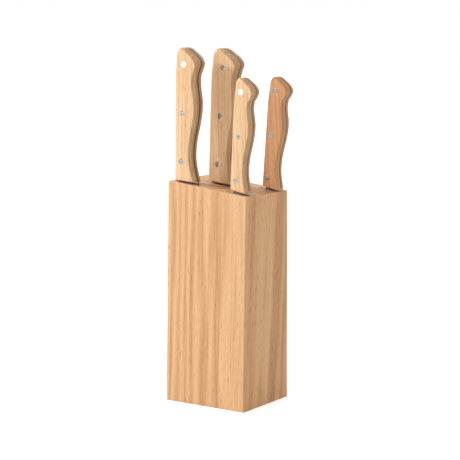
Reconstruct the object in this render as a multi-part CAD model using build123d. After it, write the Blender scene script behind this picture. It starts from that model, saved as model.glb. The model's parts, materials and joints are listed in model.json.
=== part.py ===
from build123d import *
import os
from dataclasses import dataclass
from math import cos, radians, sin

# Knife block with four riveted, full-tang knives.
# Frame: X along the wide face, Y from the wide front face to the back, Z up.
# The origin is on the underside, where the block's middle plane meets the middle row of slots. Millimetres.

# ---- block, outside ----
block_width = 91.0
front_depth = 39.0            # middle row to the front face, at the underside
back_depth = 40.4             # middle row to the back face, at the underside
front_lean_in = 4.25          # how far the front face comes in, from underside to top
back_lean_in = 2.2
block_height = 211.0          # on the block's centre line
top_slope = 0.115             # drop of the top face per millimetre along +X
corner_radius = 1.2
rim_radius = 1.0
underside_radius = 0.6

# ---- block, inside ----
side_board = 3.5
base_board = 8.0
row_spacing = 25.0            # from one row of slots to the next
slot_gap = 3.0                # width of every slot, across the blade
slot_end_clearance = 0.9      # free space past a blade's spine and edge

# ---- knives ----
handle_lift = 1.4             # from the top face to the front end of a handle, at its spine
tang_inset = 2.1              # blade spine behind the handle's spine edge
plunge = 6.0                  # full-thickness steel below the handle
edge_land = 0.35              # steel left at the cutting edge
rivet_proud = 0.15
lift_margin = 15.0            # how far a tip clears the block when a knife is out


@dataclass
class Handle:
    length: float
    thickness: float          # at the butt
    front_thickness: float    # where the blade leaves the handle
    beak: float               # width across the finger hook at the butt
    hollow: float             # width just below the hook
    belly: float
    neck: float
    front: float              # width where the blade leaves the handle
    front_drop: float         # how far the front end slants forward, from spine to belly
    rivet_diameter: float
    rivet_low: float          # lowest rivet above the handle's front end
    rivet_pitch: float
    rivet_line_low: float     # lowest rivet's distance from the spine edge
    rivet_line_high: float
    bevel: float              # along the outer edges, from the spine round the butt to the belly


@dataclass
class Knife:
    name: str
    row: int                  # -1 front, 0 middle, 1 back
    anchor: str               # side of the block that the slot is set out from
    side_gap: float           # blade to that side's board, or to the middle
    lean: float               # degrees, handle towards +X
    lift: float               # extra height of the handle above handle_lift
    handle: Handle
    blade_length: float
    blade_width: float
    blade_thickness: float
    heel: float               # how far below the handle the full width starts
    tip_drop: float           # spine to point
    edge_straight: float      # length of edge before it sweeps up
    spine_straight: float     # length of spine before it drops


def handle(length, thickness, front_thickness, widths, drop, rivet, lowest, pitch, line, bevel):
    """A handle; widths run beak, hollow, belly, neck, front; line is the rivets' distance from the spine."""
    return Handle(length, thickness, front_thickness, *widths, drop, rivet, lowest, pitch, *line, bevel)


LARGE = handle(127.0, 16.6, 12.8, widths=(26.5, 22.8, 25.4, 19.2, 24.6),
               drop=1.1, rivet=5.9, lowest=18.2, pitch=46.6, line=(8.0, 11.2), bevel=2.4)
WIDE = handle(128.0, 16.6, 12.8, widths=(30.6, 27.4, 29.2, 23.4, 28.6),
              drop=1.7, rivet=5.9, lowest=16.9, pitch=46.6, line=(11.6, 15.2), bevel=2.4)
SMALL = handle(106.0, 13.0, 11.2, widths=(22.4, 18.1, 20.4, 15.8, 19.8),
               drop=2.2, rivet=5.4, lowest=8.8, pitch=42.0, line=(6.2, 8.4), bevel=2.0)

KNIVES = [
    Knife("carving_knife", row=-1, anchor="left", side_gap=3.1, lean=1.0, lift=0.0, handle=LARGE,
          blade_length=190.0, blade_width=23.6, blade_thickness=2.2,
          heel=4.0, tip_drop=7.0, edge_straight=125.0, spine_straight=150.0),
    Knife("chef_knife", row=0, anchor="middle", side_gap=-16.8, lean=2.2, lift=1.0, handle=WIDE,
          blade_length=190.0, blade_width=38.0, blade_thickness=2.2,
          heel=9.0, tip_drop=9.0, edge_straight=70.0, spine_straight=60.0),
    Knife("utility_knife", row=-1, anchor="right", side_gap=1.0, lean=3.0, lift=1.8, handle=SMALL,
          blade_length=120.0, blade_width=16.0, blade_thickness=1.8,
          heel=3.0, tip_drop=5.0, edge_straight=70.0, spine_straight=85.0),
    Knife("paring_knife", row=1, anchor="right", side_gap=1.0, lean=4.3, lift=1.7, handle=SMALL,
          blade_length=85.0, blade_width=11.8, blade_thickness=1.8,
          heel=3.0, tip_drop=4.0, edge_straight=45.0, spine_straight=55.0),
]

# ---- values worked out from the sizes above ----
half_width = block_width / 2
inner_half_width = half_width - side_board
slot_half = slot_gap / 2


def top_height(x):
    """Height of the sloping top face at x."""
    return block_height - top_slope * x


def row_y(row):
    return row * row_spacing


def face_y(side_y, z):
    """Y of the front face (side_y -1) or the back face (1) at height z."""
    if side_y < 0:
        return front_lean_in * z / block_height - front_depth
    return back_depth - back_lean_in * z / block_height


def box(x0, x1, y0, y1, z0, z1):
    centre = Location(((x0 + x1) / 2, (y0 + y1) / 2, (z0 + z1) / 2))
    return centre * Box(x1 - x0, y1 - y0, z1 - z0)


# ---- block ----
def envelope():
    """The block's whole outer shape: wide faces lean in, the top face slopes."""
    tall = top_height(-block_width)
    corners = [(face_y(side_y, z), z) for side_y, z in ((-1, 0), (1, 0), (1, tall), (-1, tall))]
    side = Polyline(*corners, close=True)
    body = extrude(Plane.YZ * make_face(side), half_width, both=True)
    top = Plane(origin=(0, 0, top_height(0)), x_dir=(1, 0, -top_slope), z_dir=(top_slope, 0, 1))
    body = split(body, bisect_by=top, keep=Keep.BOTTOM)
    uprights = body.edges().filter_by(lambda e: abs(e.tangent_at(0.5).Z) > 0.9)
    body = fillet(uprights, corner_radius)
    body = fillet(body.faces().sort_by(Axis.Z)[-1].edges(), rim_radius)
    return fillet(body.faces().sort_by(Axis.Z)[0].edges(), underside_radius)


def mitre(side_x, side_y):
    """Plane through one upright corner of the block, at 45 degrees to both faces."""
    lean_in = face_y(side_y, block_height) - face_y(side_y, 0)
    edge = Vector(0, lean_in, block_height).normalized()
    across = Vector(-side_x, -side_y, 0).normalized()
    corner = (side_x * half_width, face_y(side_y, 0), 0)
    return Plane(origin=corner, x_dir=across, z_dir=across.cross(edge))


def half(solid, plane, inside):
    """The part of solid on the side of plane where the point inside lies."""
    above = (Vector(*inside) - plane.origin).dot(plane.z_dir) > 0
    return split(solid, bisect_by=plane, keep=Keep.TOP if above else Keep.BOTTOM)


def side_panel(shell, side_x):
    tall = 2 * block_height
    x = sorted((side_x * inner_half_width, side_x * block_width))
    panel = shell & box(x[0], x[1], -block_width, block_width, 0, tall)
    for side_y in (-1, 1):
        panel = half(panel, mitre(side_x, side_y), (side_x * half_width, 0, 0))
    return panel


def face_board(shell, side_y):
    tall = 2 * block_height
    y = sorted((side_y * (row_spacing + slot_half), side_y * block_width))
    board = shell & box(-block_width, block_width, y[0], y[1], 0, tall)
    for side_x in (-1, 1):
        corner_block = box(*sorted((side_x * inner_half_width, side_x * block_width)),
                           -block_width, block_width, 0, tall)
        kept = half(board & corner_block, mitre(side_x, side_y), (0, side_y * block_width, 0))
        board = board - corner_block + kept
    return board


def core(shell, x0, x1, y0, y1, z0=base_board, z1=2 * block_height):
    """A plain piece of the core, cut to the block's sloping top."""
    return shell & box(x0, x1, y0, y1, z0, z1)


def slot_range(knife):
    """Where a knife's slot begins and ends along X, and how high its floor is."""
    drift = knife.blade_length * sin(radians(knife.lean))
    spine = mouth_x(knife)
    x0 = spine - drift - slot_end_clearance
    x1 = spine + knife.blade_width + slot_end_clearance
    return max(x0, -inner_half_width), min(x1, inner_half_width)


# ---- knives ----
def mouth_x(knife):
    """X of the blade's spine where it leaves the handle."""
    if knife.anchor == "left":
        return -inner_half_width + knife.side_gap
    if knife.anchor == "right":
        return inner_half_width - knife.side_gap - knife.blade_width
    return knife.side_gap


def knife_place(knife):
    """The handle's lowest spine-side corner, on the middle plane of the blade."""
    x = mouth_x(knife) - tang_inset
    z = top_height(x) + handle_lift + knife.lift
    return Location((x, row_y(knife.row), z), (0, knife.lean, 0))


def axis_of(knife):
    lean = radians(knife.lean)
    return (sin(lean), 0.0, cos(lean))


def tip_height(knife):
    """Height of a seated knife's point, where the slot's floor holds it."""
    tip = knife_place(knife) * Pos(tang_inset + knife.tip_drop, 0, -knife.blade_length)
    return tip.position.Z


def handle_face(h, inset=0.0):
    """Side view of a handle: x from the spine edge to the belly, y from the front end to the butt.

    With an inset, the spine, butt and belly come in by that much, and the front end stays.
    """
    tall = h.length - inset
    width = h.beak - 2 * inset
    bend = (inset, 0.60 * tall)
    shoulder = (inset + 0.05 * width, 0.885 * tall)
    butt = [(inset + x * width, y * tall) for x, y in ((0.17, 0.985), (0.34, 1.0), (0.67, 0.964))]
    beak = (h.beak - inset, 0.885 * tall)
    grip = [(h.hollow - inset, 0.79 * tall), (h.belly - inset, 0.56 * tall), (h.neck - inset, 0.18 * tall)]
    front = (h.front - inset, -h.front_drop)
    curves = [
        Line((inset, 0), bend),
        Spline(bend, shoulder, tangents=[(0, 1), (0.12, 1)]),
        Spline(shoulder, *butt, beak, tangents=[(0.12, 1), (0, -1)]),
        Spline(beak, *grip, front, tangents=[(0, -1), (0.55, -1)]),
        Line(front, (inset, 0)),
    ]
    return make_face(Curve() + curves)


def blade_face(k):
    """Side view of a blade, from the handle's front end down to the point."""
    back = tang_inset
    edge = tang_inset + k.blade_width
    point = (back + k.tip_drop, -k.blade_length)
    throat = (min(k.handle.front, edge), 0)
    heel = (edge, -k.heel)
    sweep = (edge, -k.heel - k.edge_straight)
    drop = (back, -k.spine_straight)
    lines = [
        Line((back, 0), drop),
        Spline(drop, point, tangents=[(0, -1), (0.30, -1)]),
        Spline(point, sweep, tangents=[(0.75, 1), (0, 1)]),
        Line(sweep, heel),
        Line(heel, throat),
        Line(throat, (back, 0)),
    ]
    return make_face(Curve() + lines)


def upright(face, thickness):
    """Stand a side view up in the XZ plane and give it a thickness about that plane."""
    return extrude(Plane(origin=(0, 0, 0), x_dir=(1, 0, 0), z_dir=(0, -1, 0)) * face, thickness / 2, both=True)


def grind(k):
    """Wedge that thins a blade from its spine to its edge."""
    back = tang_inset
    edge = tang_inset + k.blade_width
    t = k.blade_thickness / 2
    section = Polyline((back, -t), (edge, -edge_land / 2), (edge, edge_land / 2), (back, t), close=True)
    return Pos(0, 0, -k.blade_length) * extrude(make_face(section), k.blade_length - plunge)


def rivet_places(h):
    """Rivet centres in the handle's side view."""
    step = (h.rivet_line_high - h.rivet_line_low) / 2
    return [(h.rivet_line_low + i * step, h.rivet_low + i * h.rivet_pitch) for i in range(3)]


def thickness_at(h, z):
    """Thickness of a handle at height z above its front end."""
    return h.front_thickness + (h.thickness - h.front_thickness) * z / h.length


def pins(h, extra):
    """Three round bars through the handle, each longer by extra than the wood is thick there."""
    across = Rot(90, 0, 0)
    radius = h.rivet_diameter / 2
    return [Pos(x, 0, z) * across * Cylinder(radius, thickness_at(h, z) + extra) for x, z in rivet_places(h)]


def blade_and_tang(k):
    ricasso = upright(blade_face(k), k.blade_thickness)
    ricasso = ricasso & box(-block_width, block_width, -slot_gap, slot_gap, -plunge, 0)
    ground = upright(blade_face(k), k.blade_thickness) & grind(k)
    steel = upright(handle_face(k.handle), k.blade_thickness) + ricasso + ground
    for pin in pins(k.handle, k.handle.thickness):
        steel -= pin
    return steel


def scale(k, side):
    """One wooden handle scale: side -1 faces the front of the block, 1 the back."""
    h = k.handle
    half_front = h.front_thickness / 2
    flare = (h.thickness - h.front_thickness) / 2 / h.length
    inner = Plane(origin=(0, k.blade_thickness / 2, 0), x_dir=(1, 0, 0), z_dir=(0, -1, 0))
    shoulder = Plane(origin=(0, half_front - h.bevel, 0), x_dir=(1, 0, 0), z_dir=(0, -1, flare))
    outer = Plane(origin=(0, half_front, 0), x_dir=(1, 0, 0), z_dir=(0, -1, flare))
    sections = [inner * handle_face(h), shoulder * handle_face(h), outer * handle_face(h, h.bevel)]
    slab = loft(sections, ruled=True)
    if side < 0:
        slab = mirror(slab, about=Plane.XZ)
    for pin in pins(h, h.thickness):
        slab -= pin
    return slab


def rivets(k):
    return [chamfer(pin.edges().filter_by(GeomType.CIRCLE), rivet_proud) for pin in pins(k.handle, 2 * rivet_proud)]


# ---- everything, by node ----
def block_nodes():
    shell = envelope()
    outer = row_spacing + slot_half
    inner = row_spacing - slot_half
    carving, chef, utility, paring = [slot_range(k) for k in KNIVES]
    left, right = -inner_half_width, inner_half_width
    nodes = {
        "front_board": face_board(shell, -1),
        "back_board": face_board(shell, 1),
        "left_side_board": side_panel(shell, -1),
        "right_side_board": side_panel(shell, 1),
        "front_inner_board": core(shell, left, right, -inner, -slot_half),
        "back_inner_board": core(shell, left, right, slot_half, inner),
        "front_centre_spacer": core(shell, carving[1], utility[0], -outer, -inner),
        "middle_left_spacer": core(shell, left, chef[0], -slot_half, slot_half),
        "middle_right_spacer": core(shell, chef[1], right, -slot_half, slot_half),
        "back_left_spacer": core(shell, left, paring[0], inner, outer),
        "base_board": core(shell, left, right, -outer, outer, 0, base_board),
    }
    for knife in KNIVES:
        x0, x1 = slot_range(knife)
        if knife.anchor == "left":
            x0 = left
        if knife.anchor == "right":
            x1 = right
        y = row_y(knife.row)
        name = knife.name.replace("_knife", "_slot_floor")
        nodes[name] = core(shell, x0, x1, y - slot_half, y + slot_half, base_board, tip_height(knife))
    return nodes


def knife_nodes(knife):
    place = knife_place(knife)
    return {
        knife.name + "_blade": place * blade_and_tang(knife),
        knife.name + "_front_scale": place * scale(knife, -1),
        knife.name + "_back_scale": place * scale(knife, 1),
        knife.name + "_rivets": place * Compound(rivets(knife)),
    }


def main():
    os.makedirs("parts", exist_ok=True)
    nodes = block_nodes()
    for knife in KNIVES:
        nodes.update(knife_nodes(knife))
        axis = ", ".join(f"{a:.6f}" for a in axis_of(knife))
        print(f"{knife.name}: lift axis ({axis}), travel {knife.blade_length + lift_margin:.1f} mm")
    for name, solid in nodes.items():
        export_step(solid, f"parts/{name}.step")


main()
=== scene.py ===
import json
import math

import bpy
from bpy.props import FloatProperty, FloatVectorProperty, PointerProperty
from bpy.types import Operator, Panel, PropertyGroup
from mathutils import Matrix, Vector


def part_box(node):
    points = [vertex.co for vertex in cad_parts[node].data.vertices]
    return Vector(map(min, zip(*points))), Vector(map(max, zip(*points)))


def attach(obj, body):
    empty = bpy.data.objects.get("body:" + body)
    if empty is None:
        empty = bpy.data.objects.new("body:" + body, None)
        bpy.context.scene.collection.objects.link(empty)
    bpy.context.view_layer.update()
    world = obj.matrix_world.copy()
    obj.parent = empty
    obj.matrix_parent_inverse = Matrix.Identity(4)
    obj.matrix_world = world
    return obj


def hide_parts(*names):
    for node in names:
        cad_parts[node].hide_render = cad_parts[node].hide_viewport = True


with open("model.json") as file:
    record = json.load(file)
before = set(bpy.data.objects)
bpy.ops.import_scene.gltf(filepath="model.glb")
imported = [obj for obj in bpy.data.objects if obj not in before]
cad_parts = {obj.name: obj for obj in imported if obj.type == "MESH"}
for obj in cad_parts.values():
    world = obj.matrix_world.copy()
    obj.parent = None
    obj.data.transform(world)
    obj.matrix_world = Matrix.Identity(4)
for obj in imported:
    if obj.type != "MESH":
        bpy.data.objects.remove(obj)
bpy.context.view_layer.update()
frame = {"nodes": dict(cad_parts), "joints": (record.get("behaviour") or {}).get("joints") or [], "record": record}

bl_info = {
    "name": "Knife Block with Riveted Knives",
    "version": (1, 0, 0),
    "blender": (4, 5, 0),
    "location": "3D View > Sidebar > Knife Block",
    "description": "Finishes a wooden knife block and its four riveted knives, and sets their stage",
    "category": "Object",
}

MM = 0.001
SIDES = {"front": -1, "back": 1}

# A handle's widths from its spine, in millimetres, from the butt down: hook, hollow, belly, neck, front end.
# The front end slants forward by the drop, from the spine to the belly.
LARGE = {
    "length": 127.0, "thickness": 16.6, "front_thickness": 12.8,
    "widths": (26.5, 22.8, 25.4, 19.2, 24.6), "drop": 1.1,
    "rivet": 5.9, "lowest": 18.2, "pitch": 46.6, "line": (8.0, 11.2), "bevel": 2.4,
}
WIDE = dict(
    LARGE, length=128.0, widths=(30.6, 27.4, 29.2, 23.4, 28.6), drop=1.7, lowest=16.9, line=(11.6, 15.2))
SMALL = {
    "length": 106.0, "thickness": 13.0, "front_thickness": 11.2,
    "widths": (22.4, 18.1, 20.4, 15.8, 19.8), "drop": 2.2,
    "rivet": 5.4, "lowest": 8.8, "pitch": 42.0, "line": (6.2, 8.4), "bevel": 2.0,
}

# A blade's sizes in millimetres; its edge and spine are straight for the lengths given.
KNIVES = {
    "carving_knife": {
        "handle": LARGE, "length": 190.0, "width": 23.6, "thickness": 2.2,
        "heel": 4.0, "tip_drop": 7.0, "edge_straight": 125.0, "spine_straight": 150.0,
    },
    "chef_knife": {
        "handle": WIDE, "length": 190.0, "width": 38.0, "thickness": 2.2,
        "heel": 9.0, "tip_drop": 9.0, "edge_straight": 70.0, "spine_straight": 60.0,
    },
    "utility_knife": {
        "handle": SMALL, "length": 120.0, "width": 16.0, "thickness": 1.8,
        "heel": 3.0, "tip_drop": 5.0, "edge_straight": 70.0, "spine_straight": 85.0,
    },
    "paring_knife": {
        "handle": SMALL, "length": 85.0, "width": 11.8, "thickness": 1.8,
        "heel": 3.0, "tip_drop": 4.0, "edge_straight": 45.0, "spine_straight": 55.0,
    },
}


# ---- colours and nodes ----
def linear(code):
    """An sRGB hex colour as linear RGBA."""
    out = []
    for start in (0, 2, 4):
        c = int(code[start:start + 2], 16) / 255
        out.append(c / 12.92 if c <= 0.04045 else ((c + 0.055) / 1.055) ** 2.4)
    return (*out, 1.0)


def add(tree, kind, inputs=None, **settings):
    """Adds a shader node. Settings are its own properties; an input is a value or the socket feeding it."""
    made = tree.nodes.new(kind)
    for key, value in settings.items():
        setattr(made, key, value)
    for key, value in (inputs or {}).items():
        if isinstance(value, bpy.types.NodeSocket):
            tree.links.new(value, made.inputs[key])
        else:
            made.inputs[key].default_value = value
    return made


def ramp(tree, factor, stops):
    """A colour ramp through stops of (position, colour)."""
    made = add(tree, "ShaderNodeValToRGB", {0: factor})
    elements = made.color_ramp.elements
    while len(elements) < len(stops):
        elements.new(0.5)
    for element, (place, colour) in zip(elements, stops):
        element.position = place
        element.color = colour
    return made.outputs[0]


GREY = [(v, v, v, 1.0) for v in (0.0, 1.0)]


def blend(tree, factor, a, b, how="MIX"):
    return add(tree, "ShaderNodeMix", {0: factor, 6: a, 7: b}, data_type="RGBA", blend_type=how).outputs[2]


# how strongly a plank's bands and its finer streaks shift it between its light and dark colours
BAND_WEIGHT = 0.34
STREAK_WEIGHT = 0.53


def wood(name, light, middle, dark, pore, pith, slant=(0.0, 0.0), shift=0.0, ring=5.0, figure=0.22,
         fleck=2.0, painted_side_shade=1.0):
    """Oiled rubberwood, sawn and sanded along the grain.

    The eye gets soft upright bands of honey and tan, finer streaks in them, and short dark pores.
    End grain shows rings and dots, because the pattern runs through the solid. pith is the tree's middle
    and shift how far along X the bands move, both in millimetres. slant is the grain's lean in degrees
    about X and Y, ring the growth rings' spacing, and fleck the pores' spacing, drawn coarser than the real
    one so that the pores show at arm's length.
    """
    made = bpy.data.materials.new(name)
    made.use_nodes = True
    tree = made.node_tree
    shader = tree.nodes["Principled BSDF"]
    place = add(tree, "ShaderNodeTexCoord").outputs["Object"]
    turn = (math.radians(slant[0]), math.radians(slant[1]), 0.0)
    board = add(tree, "ShaderNodeMapping", {"Vector": place, "Rotation": turn}).outputs[0]
    middle_of_tree = (-pith[0] * MM, -pith[1] * MM, 0.0)
    centred = add(tree, "ShaderNodeMapping",
                  {"Vector": board, "Location": middle_of_tree, "Scale": (1.0, 1.0, 0.06)}).outputs[0]
    along = add(tree, "ShaderNodeMapping",
                {"Vector": board, "Location": (shift * MM, 0.0, 0.0), "Scale": (1.0, 1.0, 0.035)}).outputs[0]
    short = add(tree, "ShaderNodeMapping", {"Vector": board, "Scale": (1.0, 1.0, 0.13)}).outputs[0]

    # growth rings: one turn of the wave is a twentieth of its scale
    rings = add(tree, "ShaderNodeTexWave",
                {"Vector": centred, "Scale": 2 * math.pi / (20 * ring * MM), "Distortion": 7.0,
                 "Detail": 3.0, "Detail Scale": 0.6, "Detail Roughness": 0.6},
                wave_type="RINGS", rings_direction="Z").outputs["Fac"]
    bands = add(tree, "ShaderNodeTexNoise",
                {"Vector": along, "Scale": 1 / (11.0 * MM), "Detail": 2.0, "Roughness": 0.5}).outputs["Fac"]
    streaks = add(tree, "ShaderNodeTexNoise",
                  {"Vector": along, "Scale": 1 / (2.4 * MM), "Detail": 5.0, "Roughness": 0.62}).outputs["Fac"]
    fibres = add(tree, "ShaderNodeTexNoise",
                 {"Vector": short, "Scale": 1 / (0.8 * MM), "Detail": 3.0, "Roughness": 0.6}).outputs["Fac"]

    # the figure adds as much as it takes away, so a stronger figure leaves the wood no darker
    tone = 0.225 - figure / 2
    for pattern, weight in ((rings, figure), (bands, BAND_WEIGHT), (streaks, STREAK_WEIGHT)):
        tone = add(tree, "ShaderNodeMath",
                   {0: pattern, 1: weight, 2: tone}, operation="MULTIPLY_ADD").outputs[0]
    colour = ramp(tree, tone, [(0.40, linear(light)), (0.62, linear(middle)), (0.90, linear(dark))])
    shade = ramp(tree, fibres, [(0.32, (0.84, 0.79, 0.74, 1.0)), (0.58, (1.0, 1.0, 1.0, 1.0))])
    colour = blend(tree, 0.8, colour, shade, "MULTIPLY")

    # pores: stretched cells, kept only where a slow noise lets them gather
    cells = add(tree, "ShaderNodeTexVoronoi", {"Vector": short, "Scale": 1 / (fleck * MM), "Randomness": 1.0})
    dots = ramp(tree, cells.outputs["Distance"], [(0.10, GREY[1]), (0.24, GREY[0])])
    kept = ramp(tree, add(tree, "ShaderNodeSeparateColor", {0: cells.outputs["Color"]}).outputs[0],
                [(0.42, GREY[0]), (0.62, GREY[1])])
    drift = add(tree, "ShaderNodeTexNoise",
                {"Vector": along, "Scale": 1 / (7.0 * MM), "Detail": 1.0}).outputs["Fac"]
    gathered = ramp(tree, drift, [(0.40, (0.25, 0.25, 0.25, 1.0)), (0.62, GREY[1])])
    pores = blend(tree, 1.0, dots, kept, "MULTIPLY")
    pores = blend(tree, 1.0, pores, gathered, "MULTIPLY")
    strength = add(tree, "ShaderNodeMath", {0: pores, 1: 0.9}, operation="MULTIPLY").outputs[0]
    colour = blend(tree, strength, colour, linear(pore))

    # painted shade: the sides, butts and bevels, which face away from the broad faces, are darkened by this factor
    # to stand in for the shade they get
    if painted_side_shade < 1.0:
        facing = add(tree, "ShaderNodeSeparateXYZ",
                     {0: add(tree, "ShaderNodeTexCoord").outputs["Normal"]}).outputs["Y"]
        facing = add(tree, "ShaderNodeMath", {0: facing}, operation="ABSOLUTE").outputs[0]
        side_shade_colour = (painted_side_shade, painted_side_shade * 0.97, painted_side_shade * 0.93, 1.0)
        colour = blend(tree, 1.0, colour, ramp(tree, facing, [(0.80, side_shade_colour), (0.97, GREY[1])]), "MULTIPLY")

    rough = ramp(tree, streaks, [(0.35, (0.44, 0.44, 0.44, 1.0)), (0.70, (0.56, 0.56, 0.56, 1.0))])
    height = add(tree, "ShaderNodeMath", {0: fibres, 1: pores}, operation="SUBTRACT").outputs[0]
    bump = add(tree, "ShaderNodeBump", {"Height": height, "Strength": 0.35, "Distance": 0.05 * MM}).outputs[0]
    tree.links.new(colour, shader.inputs["Base Color"])
    tree.links.new(rough, shader.inputs["Roughness"])
    tree.links.new(bump, shader.inputs["Normal"])
    shader.inputs["IOR"].default_value = 1.5
    shader.inputs["Specular IOR Level"].default_value = 0.2
    return made


def ground_steel(name, dark, light, rough):
    """Stainless steel with fine grinding lines along it. A low rough nearly mirrors; a high one is dull."""
    made = bpy.data.materials.new(name)
    made.use_nodes = True
    tree = made.node_tree
    shader = tree.nodes["Principled BSDF"]
    place = add(tree, "ShaderNodeTexCoord").outputs["Object"]
    lines = add(tree, "ShaderNodeMapping", {"Vector": place, "Scale": (1.0, 1.0, 0.03)}).outputs[0]
    # grinding lines, 0.35 mm apart
    grind = add(tree, "ShaderNodeTexNoise",
                {"Vector": lines, "Scale": 1 / (0.35 * MM), "Detail": 4.0}).outputs["Fac"]
    cloud = add(tree, "ShaderNodeTexNoise",
                {"Vector": place, "Scale": 1 / (18 * MM), "Detail": 3.0}).outputs["Fac"]
    tint = ramp(tree, grind, [(0.30, linear(dark)), (0.70, linear(light))])
    sheen = add(tree, "ShaderNodeMath", {0: grind, 1: 0.08, 2: rough}, operation="MULTIPLY_ADD").outputs[0]
    sheen = add(tree, "ShaderNodeMath", {0: cloud, 1: 0.05, 2: sheen}, operation="MULTIPLY_ADD").outputs[0]
    bump = add(tree, "ShaderNodeBump", {"Height": grind, "Strength": 0.25, "Distance": 0.01 * MM}).outputs[0]
    tree.links.new(tint, shader.inputs["Base Color"])
    tree.links.new(sheen, shader.inputs["Roughness"])
    tree.links.new(bump, shader.inputs["Normal"])
    shader.inputs["Metallic"].default_value = 1.0
    return made


def rivet_aluminium(name, dark, light):
    """Aluminium rivet heads with brighter worn patches; the warm grey copy is painted shade and reflected wood,
    the nearly white copy a painted glint.
    """
    made = bpy.data.materials.new(name)
    made.use_nodes = True
    tree = made.node_tree
    shader = tree.nodes["Principled BSDF"]
    place = add(tree, "ShaderNodeTexCoord").outputs["Object"]
    wear = add(tree, "ShaderNodeTexNoise",
               {"Vector": place, "Scale": 1 / (1.6 * MM), "Detail": 4.0}).outputs["Fac"]
    tint = ramp(tree, wear, [(0.35, linear(dark)), (0.65, linear(light))])
    rough = ramp(tree, wear, [(0.30, (0.22, 0.22, 0.22, 1.0)), (0.70, (0.38, 0.38, 0.38, 1.0))])
    bump = add(tree, "ShaderNodeBump", {"Height": wear, "Strength": 0.2, "Distance": 0.02 * MM}).outputs[0]
    tree.links.new(tint, shader.inputs["Base Color"])
    tree.links.new(rough, shader.inputs["Roughness"])
    tree.links.new(bump, shader.inputs["Normal"])
    shader.inputs["Metallic"].default_value = 1.0
    return made


# ---- modelling helpers ----
def deselect():
    bpy.ops.object.select_all(action="DESELECT")


def edit(piece):
    """Opens one piece in edit mode with nothing selected."""
    deselect()
    bpy.context.view_layer.objects.active = piece
    piece.select_set(True)
    bpy.ops.object.mode_set(mode="EDIT")
    bpy.ops.mesh.select_all(action="DESELECT")


def done():
    bpy.ops.object.mode_set(mode="OBJECT")


def apply(piece, modifier):
    deselect()
    bpy.context.view_layer.objects.active = piece
    piece.select_set(True)
    bpy.ops.object.modifier_apply(modifier=modifier.name)


def pick_faces(piece, test):
    """Selects the faces whose middle and normal pass the test; leaves edit mode on again."""
    bpy.ops.object.mode_set(mode="OBJECT")
    for face in piece.data.polygons:
        face.select = test(face.center, face.normal)
    bpy.ops.object.mode_set(mode="EDIT")
    bpy.ops.mesh.select_mode(type="FACE")


def side_view(name, points, depth):
    """Draws a closed outline in the XZ plane at y = depth and fills it.

    A point is (x, z, kind): a corner is sharp, a bend is smooth, and the other two are straight on one side.
    """
    kinds = {"corner": ("VECTOR", "VECTOR"), "bend": ("AUTO", "AUTO"),
             "leaves straight": ("AUTO", "VECTOR"), "comes straight": ("VECTOR", "AUTO")}
    deselect()
    bpy.ops.curve.primitive_bezier_circle_add(radius=MM)
    piece = bpy.context.object
    piece.name = name
    piece.data.name = name
    piece.data.dimensions = "3D"
    piece.data.resolution_u = 10
    spline = piece.data.splines[0]
    spline.bezier_points.add(len(points) - len(spline.bezier_points))
    for point, (x, z, kind) in zip(spline.bezier_points, points):
        point.co = (x * MM, depth * MM, z * MM)
        point.handle_left_type, point.handle_right_type = kinds[kind]
    bpy.ops.object.convert(target="MESH")
    piece = bpy.context.object
    edit(piece)
    bpy.ops.mesh.select_all(action="SELECT")
    bpy.ops.mesh.remove_doubles(threshold=0.02 * MM)
    bpy.ops.mesh.edge_face_add()
    done()
    return piece


def settle(piece, place, material, slot, body, *nodes):
    """Moves a finished piece to its place, with the place in its mesh, hangs it under its body's empty and hides
    the parts it stands for.
    """
    piece.matrix_world = place
    edit(piece)
    bpy.ops.mesh.select_all(action="SELECT")
    bpy.ops.mesh.normals_make_consistent(inside=False)
    done()
    bpy.ops.object.transform_apply(location=True, rotation=True, scale=True)
    if not piece.data.has_custom_normals:
        bpy.ops.object.shade_smooth_by_angle(angle=math.radians(35))
    if not piece.data.materials:
        piece.data.materials.append(material)
    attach(piece, body)
    if nodes:
        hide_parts(*nodes)
    return piece


# ---- the knives' measures ----
def lean_of(knife):
    """A knife's lean from its joint's axis, in radians."""
    for joint in frame["joints"]:
        if joint["child"] == knife:
            axis = joint["axis"]
            return math.atan2(axis[0], axis[2])
    raise ValueError(f"no joint lifts {knife}")


def place_of(knife):
    """Where a handle's own frame stands: its front end's spine-side corner, on the blade's middle plane."""
    lean = lean_of(knife)
    scale_low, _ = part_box(knife + "_front_scale")
    blade_low, blade_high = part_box(knife + "_blade")
    handle = KNIVES[knife]["handle"]
    below = (handle["widths"][-1] * math.sin(lean) + handle["drop"] * math.cos(lean)) * MM
    corner = Vector((scale_low.x, (blade_low.y + blade_high.y) / 2, scale_low.z + below))
    return Matrix.Translation(corner) @ Matrix.Rotation(lean, 4, "Y")


def thickness_at(handle, z):
    taper = (handle["thickness"] - handle["front_thickness"]) / handle["length"]
    return handle["front_thickness"] + taper * z


def rivet_places(handle):
    low, high = handle["line"]
    return [(low + i * (high - low) / 2, handle["lowest"] + i * handle["pitch"]) for i in range(3)]


def grip_points(handle, inset=0.0):
    """A handle's side view, from its front corner up the spine, round the hook and down the belly.

    With an inset, the spine, butt and belly come in by that much, and the front end stays.
    """
    tall = handle["length"] - inset
    hook, hollow, belly, neck, front = (width - inset for width in handle["widths"])
    width = hook - inset
    return [
        (inset, 0.0, "corner"),
        (inset, 0.60 * tall, "comes straight"),
        (inset + 0.05 * width, 0.885 * tall, "bend"),
        (inset + 0.16 * width, 0.988 * tall, "bend"),
        (inset + 0.31 * width, tall, "bend"),
        (inset + 0.67 * width, 0.964 * tall, "bend"),
        (inset + 0.93 * width, 0.918 * tall, "bend"),
        (hook, 0.885 * tall, "bend"),
        (inset + 0.96 * width, 0.854 * tall, "bend"),
        (hollow, 0.79 * tall, "bend"),
        (belly, 0.56 * tall, "bend"),
        (neck, 0.18 * tall, "bend"),
        (front, -handle["drop"], "corner"),
    ]


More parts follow.
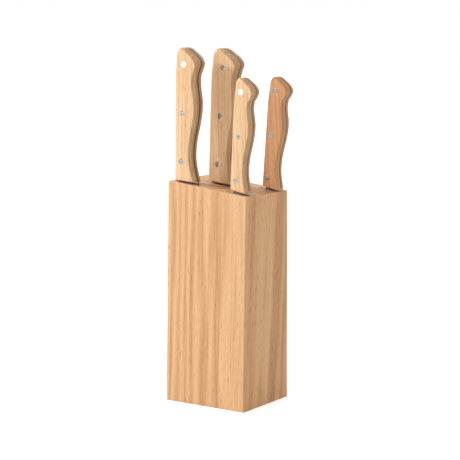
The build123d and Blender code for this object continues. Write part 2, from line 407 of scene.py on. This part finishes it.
# ---- settings ----
class KnifeSettings(PropertyGroup):
    """Sizes and finishes of the knives."""

    rivet_proud: FloatProperty(
        name="Rivet Dome", description="How far a rivet's head stands proud of the wood",
        default=0.15 * MM, min=0.0, max=0.001, subtype="DISTANCE", unit="LENGTH")
    tang_inset: FloatProperty(
        name="Spine Step", description="How far the blade's spine is set in from the handle's",
        default=2.1 * MM, min=0.0, max=0.005, subtype="DISTANCE", unit="LENGTH")
    plunge: FloatProperty(
        name="Plunge", description="Full-thickness steel below the handle",
        default=6.0 * MM, min=0.001, max=0.02, subtype="DISTANCE", unit="LENGTH")
    edge_land: FloatProperty(
        name="Edge Thickness", description="Steel left at the cutting edge",
        default=0.35 * MM, min=0.0001, max=0.002, subtype="DISTANCE", unit="LENGTH")


class StageSettings(PropertyGroup):
    """Light, floor and camera."""

    key_power: FloatProperty(
        name="Key Light", description="Power of the light on the left", default=62.0, min=0.0, unit="POWER")
    front_power: FloatProperty(
        name="Front Light", description="Power of the broad light in front",
        default=5.0, min=0.0, unit="POWER")
    surround: FloatProperty(
        name="Surround", description="Light of the white surround", default=1.10, min=0.0, max=4.0)
    floor_colour: FloatVectorProperty(
        name="Floor Colour", description="Colour of the pale floor", size=4, subtype="COLOR",
        default=linear("E4E3E1"), min=0.0, max=1.0)
    lens: FloatProperty(name="Lens", description="Focal length", default=125.2, min=10.0, unit="CAMERA")


def wood_of(name):
    """Each wood is made once, and each board and handle has its own part of the tree."""
    found = bpy.data.materials.get(name)
    return found or wood(name, **WOODS[name])


BOARD = {"light": "CBA178", "middle": "BF9268", "dark": "A3764D", "pore": "7A5233"}
# the handles' sides, butts and bevels carry painted shade, set by the darkening factor in their wood
HANDLE = {
    "light": "CFAC89", "middle": "C59F79", "dark": "A88057", "pore": "7E5637",
    "ring": 3.0, "figure": 0.10, "fleck": 1.6, "painted_side_shade": 0.76,
}
WOODS = {
    "oiled_rubberwood_front": dict(BOARD, pith=(38.0, 55.0), slant=(1.2, 0.0), shift=60.0),
    "oiled_rubberwood_back": dict(BOARD, pith=(-20.0, -60.0), slant=(-1.0, 0.6)),
    "oiled_rubberwood_left": dict(BOARD, pith=(80.0, 8.0), slant=(-3.0, 0.8)),
    "oiled_rubberwood_right": dict(BOARD, pith=(-70.0, -12.0), slant=(3.0, 0.0), shift=25.0),
    "oiled_rubberwood_core": dict(BOARD, pith=(-30.0, 45.0)),
    "oiled_rubberwood_carving": dict(HANDLE, pith=(-90.0, 10.0), slant=(0.0, -2.0)),
    "oiled_rubberwood_chef": dict(HANDLE, pith=(60.0, 35.0), slant=(0.0, 1.0)),
    "oiled_rubberwood_utility": dict(HANDLE, pith=(-10.0, 30.0), slant=(0.0, 2.0)),
    # the paring handle's colours are lighter than the other handles': partly its own more orange wood, partly
    # painted light that lifts it out of the shade its neighbours cast on it; its sides get stronger painted shade
    "oiled_rubberwood_paring": dict(HANDLE, light="E4B084", middle="DBA476", dark="BB865B", pith=(0.0, -40.0),
                                    slant=(0.0, 3.0), painted_side_shade=0.64),
}
# these heads are painted nearly white, a painted glint where they catch the key light; rivets are numbered from
# the front end up
GLINT_PAINTED_HEADS = {("carving_knife", 2), ("utility_knife", 2)}
BOARD_WOODS = {
    "front_board": "front", "back_board": "back", "left_side_board": "left", "right_side_board": "right",
}


# ---- operators ----
class BLOCK_OT_boards(Operator):
    """Finish the block's boards in oiled rubberwood, each with its own grain"""

    bl_idname = "knife_block.boards"
    bl_label = "Finish Boards"

    def execute(self, context):
        nodes = frame["record"]["behaviour"]["bodies"]["block"]
        for node in nodes:
            material = wood_of("oiled_rubberwood_" + BOARD_WOODS.get(node, "core"))
            for place in frame["nodes"][node].material_slots:
                place.material = material
        return {"FINISHED"}


class KNIVES_OT_blades(Operator):
    """Model the full-tang blades, each ground flat from spine to edge"""

    bl_idname = "knife_block.blades"
    bl_label = "Add Blades"

    def outline(self, knife, inset):
        """Tang and blade in one outline, in millimetres."""
        sizes = KNIVES[knife]
        edge = inset + sizes["width"]
        grip = grip_points(sizes["handle"])
        front = sizes["handle"]["widths"][-1]
        slant = sizes["handle"]["drop"] / front
        throat = [(edge, -slant * edge, "corner")] if edge < front else []
        sweep = -sizes["heel"] - sizes["edge_straight"]
        return grip + throat + [
            (edge, -sizes["heel"], "corner"),
            (edge, sweep, "comes straight"),
            (edge - 0.22 * (sizes["width"] - sizes["tip_drop"]), (sweep - sizes["length"]) / 2, "bend"),
            (inset + sizes["tip_drop"], -sizes["length"], "corner"),
            (inset + 0.38 * sizes["tip_drop"], -(sizes["spine_straight"] + sizes["length"]) / 2, "bend"),
            (inset, -sizes["spine_straight"], "leaves straight"),
            (inset, 0.0, "corner"),
        ]

    def execute(self, context):
        settings = context.scene.knife_settings
        steel = ground_steel("satin_ground_stainless_steel", "8E8983", "AAA59F", 0.04)
        dull_painted_shade = ground_steel("hand_sanded_tang_steel_painted_shade", "6E5B4B", "86705D", 0.42)
        inset = settings.tang_inset / MM
        for knife, sizes in KNIVES.items():
            piece = side_view(knife + "_steel", self.outline(knife, inset), 0.0)
            edit(piece)
            for level in (settings.plunge, settings.plunge + 1.2 * MM):
                bpy.ops.mesh.select_all(action="SELECT")
                bpy.ops.mesh.bisect(plane_co=(0, 0, -level), plane_no=(0, 0, 1))
            done()
            wall = piece.modifiers.new("thickness", "SOLIDIFY")
            wall.thickness = sizes["thickness"] * MM
            wall.offset = 0.0
            apply(piece, wall)
            # the grind: both faces draw in evenly from the spine to the edge
            width = sizes["width"] * MM
            for vertex in piece.data.vertices:
                if vertex.co.z < -settings.plunge - 0.6 * MM:
                    share = min(max((vertex.co.x - settings.tang_inset) / width, 0.0), 1.0)
                    half = (sizes["thickness"] * MM * (1 - share) + settings.edge_land * share) / 2
                    vertex.co.y = math.copysign(half, vertex.co.y)
            piece.data.materials.append(steel)
            piece.data.materials.append(dull_painted_shade)
            # the tang's edges round the handle take the dark brown steel: painted shade and painted reflection of
            # the wood between the scales
            for face in piece.data.polygons:
                face.material_index = 1 if face.center.z > 0 and abs(face.normal.y) < 0.5 else 0
            settle(piece, place_of(knife), steel, "blade_steel", knife, knife + "_blade")
        return {"FINISHED"}


class KNIVES_OT_scales(Operator):
    """Model the wooden scales of each handle, tapered to the front end with bevelled edges"""

    bl_idname = "knife_block.scales"
    bl_label = "Add Handle Scales"

    def pull_out(self, piece, side, new_place):
        """Extrudes the open face and sets each of its corners where new_place says."""
        bpy.ops.mesh.extrude_region_move(TRANSFORM_OT_translate={"value": (0, side * MM, 0)})
        bpy.ops.object.mode_set(mode="OBJECT")
        for vertex in piece.data.vertices:
            if vertex.select:
                vertex.co = new_place(vertex.co)
        bpy.ops.object.mode_set(mode="EDIT")

    def scale(self, name, handle, inner, side):
        """One scale in the handle's own frame: flat inside, straight sides, a bevel round the outer face."""
        rim = side_view(name + "_rim", grip_points(handle, handle["bevel"]), 0.0)
        rim_corners = [vertex.co.copy() for vertex in rim.data.vertices]
        bpy.data.objects.remove(rim)
        piece = side_view(name, grip_points(handle), side * inner)
        corners = {self.key(v.co): rim_corners[i] for i, v in enumerate(piece.data.vertices)}

        def level(z, drop):
            return side * (thickness_at(handle, z / MM) / 2 - drop) * MM

        edit(piece)
        bpy.ops.mesh.select_all(action="SELECT")
        self.pull_out(piece, side, lambda at: (at.x, level(at.z, handle["bevel"]), at.z))
        self.pull_out(piece, side, lambda at: self.moved(corners[self.key(at)], level))
        done()
        soft = piece.modifiers.new("soft_edges", "BEVEL")
        soft.width = 0.35 * MM
        soft.segments = 3
        soft.limit_method = "ANGLE"
        soft.angle_limit = math.radians(32)
        apply(piece, soft)
        deselect()
        piece.select_set(True)
        bpy.context.view_layer.objects.active = piece
        bpy.ops.object.shade_smooth()
        flat = piece.modifiers.new("flat_faces", "WEIGHTED_NORMAL")
        flat.weight = 100
        apply(piece, flat)
        return piece

    def key(self, at):
        return (round(at.x / MM, 2), round(at.z / MM, 2))

    def moved(self, corner, level):
        return (corner.x, level(corner.z, 0.0), corner.z)

    def execute(self, context):
        for knife, sizes in KNIVES.items():
            material = wood_of("oiled_rubberwood_" + knife.replace("_knife", ""))
            for label, side in SIDES.items():
                name = f"{knife}_{label}_wood"
                piece = self.scale(name, sizes["handle"], sizes["thickness"] / 2, side)
                settle(piece, place_of(knife), material, "handle_wood", knife, f"{knife}_{label}_scale")
        return {"FINISHED"}


class KNIVES_OT_rivets(Operator):
    """Model the rivets that clamp each pair of scales to the tang"""

    bl_idname = "knife_block.rivets"
    bl_label = "Add Rivets"

    def rivet(self, name, radius, proud, length):
        """One rivet along Y at the origin, with a softly domed head at each end."""
        deselect()
        bpy.ops.mesh.primitive_cylinder_add(vertices=48, radius=radius, depth=length - 2 * proud,
                                            rotation=(math.radians(90), 0, 0))
        piece = bpy.context.object
        piece.name = name
        bpy.ops.object.transform_apply(location=True, rotation=True, scale=True)
        edit(piece)
        pick_faces(piece, lambda middle, normal: abs(normal.y) > 0.9)
        inward = 0.0
        for share in (0.07, 0.20, 0.40, 0.65, 0.88):
            bpy.ops.mesh.inset(thickness=(share - inward) * radius, depth=0.0)
            inward = share
            self.raise_heads(piece, length / 2 - proud + proud * math.sqrt(1 - (1 - share) ** 2))
        done()
        return piece

    def raise_heads(self, piece, level):
        """Sets the selected head faces level with each end."""
        bpy.ops.object.mode_set(mode="OBJECT")
        for vertex in piece.data.vertices:
            if vertex.select:
                vertex.co.y = math.copysign(level, vertex.co.y)
        bpy.ops.object.mode_set(mode="EDIT")

    def execute(self, context):
        proud = context.scene.knife_settings.rivet_proud
        dull_painted_shade = rivet_aluminium("aluminium_painted_shade", "857C74", "B9B2AA")
        glint_painted = rivet_aluminium("aluminium_painted_glint", "E2E6E8", "FBFCFC")
        for knife, sizes in KNIVES.items():
            handle = sizes["handle"]
            pins = []
            for number, (x, z) in enumerate(rivet_places(handle)):
                length = thickness_at(handle, z) * MM + 2 * proud
                pin = self.rivet(knife + "_rivet_set", handle["rivet"] / 2 * MM, proud, length)
                pin.location = (x * MM, 0, z * MM)
                # heads that catch the key light get the painted glint, the others the warm grey painted shade
                pin.data.materials.append(glint_painted if (knife, number) in GLINT_PAINTED_HEADS else dull_painted_shade)
                pins.append(pin)
            deselect()
            for pin in pins:
                pin.select_set(True)
            bpy.context.view_layer.objects.active = pins[0]
            bpy.ops.object.transform_apply(location=True, rotation=True, scale=True)
            bpy.ops.object.join()
            settle(pins[0], place_of(knife), dull_painted_shade, "rivet_aluminium", knife, knife + "_rivets")
        return {"FINISHED"}


# glow that takes the floor the camera sees from pale grey to white
FLOOR_LIFT = 0.40


class STAGE_OT_build(Operator):
    """Set the pale floor, the soft lights, the white surround and the camera"""

    bl_idname = "knife_block.stage"
    bl_label = "Set Stage"

    def soft_light(self, name, away, size, power, colour):
        """A round light two metres from the block, aimed at its middle."""
        away = Vector(away).normalized()
        bpy.ops.object.light_add(type="AREA", location=Vector((0, 0, 0.2)) + 2.0 * away)
        light = bpy.context.object
        light.name = name
        light.data.shape = "DISK"
        light.data.size = size
        light.data.energy = power
        light.data.color = linear(colour)[:3]
        light.rotation_euler = away.to_track_quat("Z", "Y").to_euler()

    def execute(self, context):
        settings = context.scene.stage_settings
        deselect()
        bpy.ops.mesh.primitive_plane_add(size=12)
        floor = context.object
        floor.name = "floor"
        made = bpy.data.materials.new("pale_matt_floor")
        made.use_nodes = True
        shader = made.node_tree.nodes["Principled BSDF"]
        shader.inputs["Base Color"].default_value = settings.floor_colour
        shader.inputs["Roughness"].default_value = 0.9
        # the floor is lifted to white where the camera looks at it, and bounces no more light for that
        shader.inputs["Emission Color"].default_value = (1, 1, 1, 1)
        seen = add(made.node_tree, "ShaderNodeLightPath").outputs["Is Camera Ray"]
        lift = add(made.node_tree, "ShaderNodeMath",
                   {0: seen, 1: FLOOR_LIFT}, operation="MULTIPLY").outputs[0]
        made.node_tree.links.new(lift, shader.inputs["Emission Strength"])
        floor.data.materials.append(made)

        self.soft_light("key_light", (-0.82, -0.29, 0.48), 0.18, settings.key_power, "E6F6FF")
        self.soft_light("front_light", (-0.25, -0.92, 0.30), 1.2, settings.front_power, "FFFFFF")

        world = bpy.data.worlds.new("white_surround")
        world.use_nodes = True
        tree = world.node_tree
        back = tree.nodes["Background"]
        back.inputs["Color"].default_value = (1, 1, 1, 1)
        seen = add(tree, "ShaderNodeLightPath").outputs["Is Camera Ray"]
        strength = add(tree, "ShaderNodeMix", {0: seen, 2: settings.surround, 3: 1.0}).outputs[0]
        tree.links.new(strength, back.inputs["Strength"])
        context.scene.world = world
        context.scene.view_settings.view_transform = "Standard"
        context.scene.view_settings.look = "None"

        bpy.ops.object.camera_add(location=Vector((861.12, -1276.16, 385.02)) * MM)
        camera = context.object
        camera.name = "camera"
        tilt, turn, roll = (math.radians(a) for a in (81.96, 33.90, 0.132))
        aim = Matrix.Rotation(turn, 3, "Z") @ Matrix.Rotation(tilt, 3, "X") @ Matrix.Rotation(roll, 3, "Z")
        camera.rotation_euler = aim.to_euler()
        camera.data.lens = settings.lens
        camera.data.sensor_width = 36.0
        camera.data.clip_start = 0.05
        camera.data.clip_end = 50.0
        context.scene.camera = camera
        return {"FINISHED"}


class VIEW3D_PT_knife_block(Panel):
    """Lists the block's pieces and settings"""

    bl_idname = "VIEW3D_PT_knife_block"
    bl_label = "Knife Block"
    bl_space_type = "VIEW_3D"
    bl_region_type = "UI"
    bl_category = "Knife Block"

    def draw(self, context):
        # Lists the block's operators and settings
        layout = self.layout
        for operator in OPERATORS:
            layout.operator(operator.bl_idname)
        for group in (context.scene.knife_settings, context.scene.stage_settings):
            for name in group.__annotations__:
                layout.prop(group, name)


OPERATORS = (BLOCK_OT_boards, KNIVES_OT_blades, KNIVES_OT_scales, KNIVES_OT_rivets, STAGE_OT_build)
CLASSES = (KnifeSettings, StageSettings, *OPERATORS, VIEW3D_PT_knife_block)


def register():
    for kind in CLASSES:
        bpy.utils.register_class(kind)
    bpy.types.Scene.knife_settings = PointerProperty(type=KnifeSettings)
    bpy.types.Scene.stage_settings = PointerProperty(type=StageSettings)


def unregister():
    del bpy.types.Scene.stage_settings
    del bpy.types.Scene.knife_settings
    for kind in reversed(CLASSES):
        bpy.utils.unregister_class(kind)


def main():
    register()
    bpy.ops.knife_block.boards()
    bpy.ops.knife_block.blades()
    bpy.ops.knife_block.scales()
    bpy.ops.knife_block.rivets()
    bpy.ops.knife_block.stage()


if __name__ == "__main__":
    main()
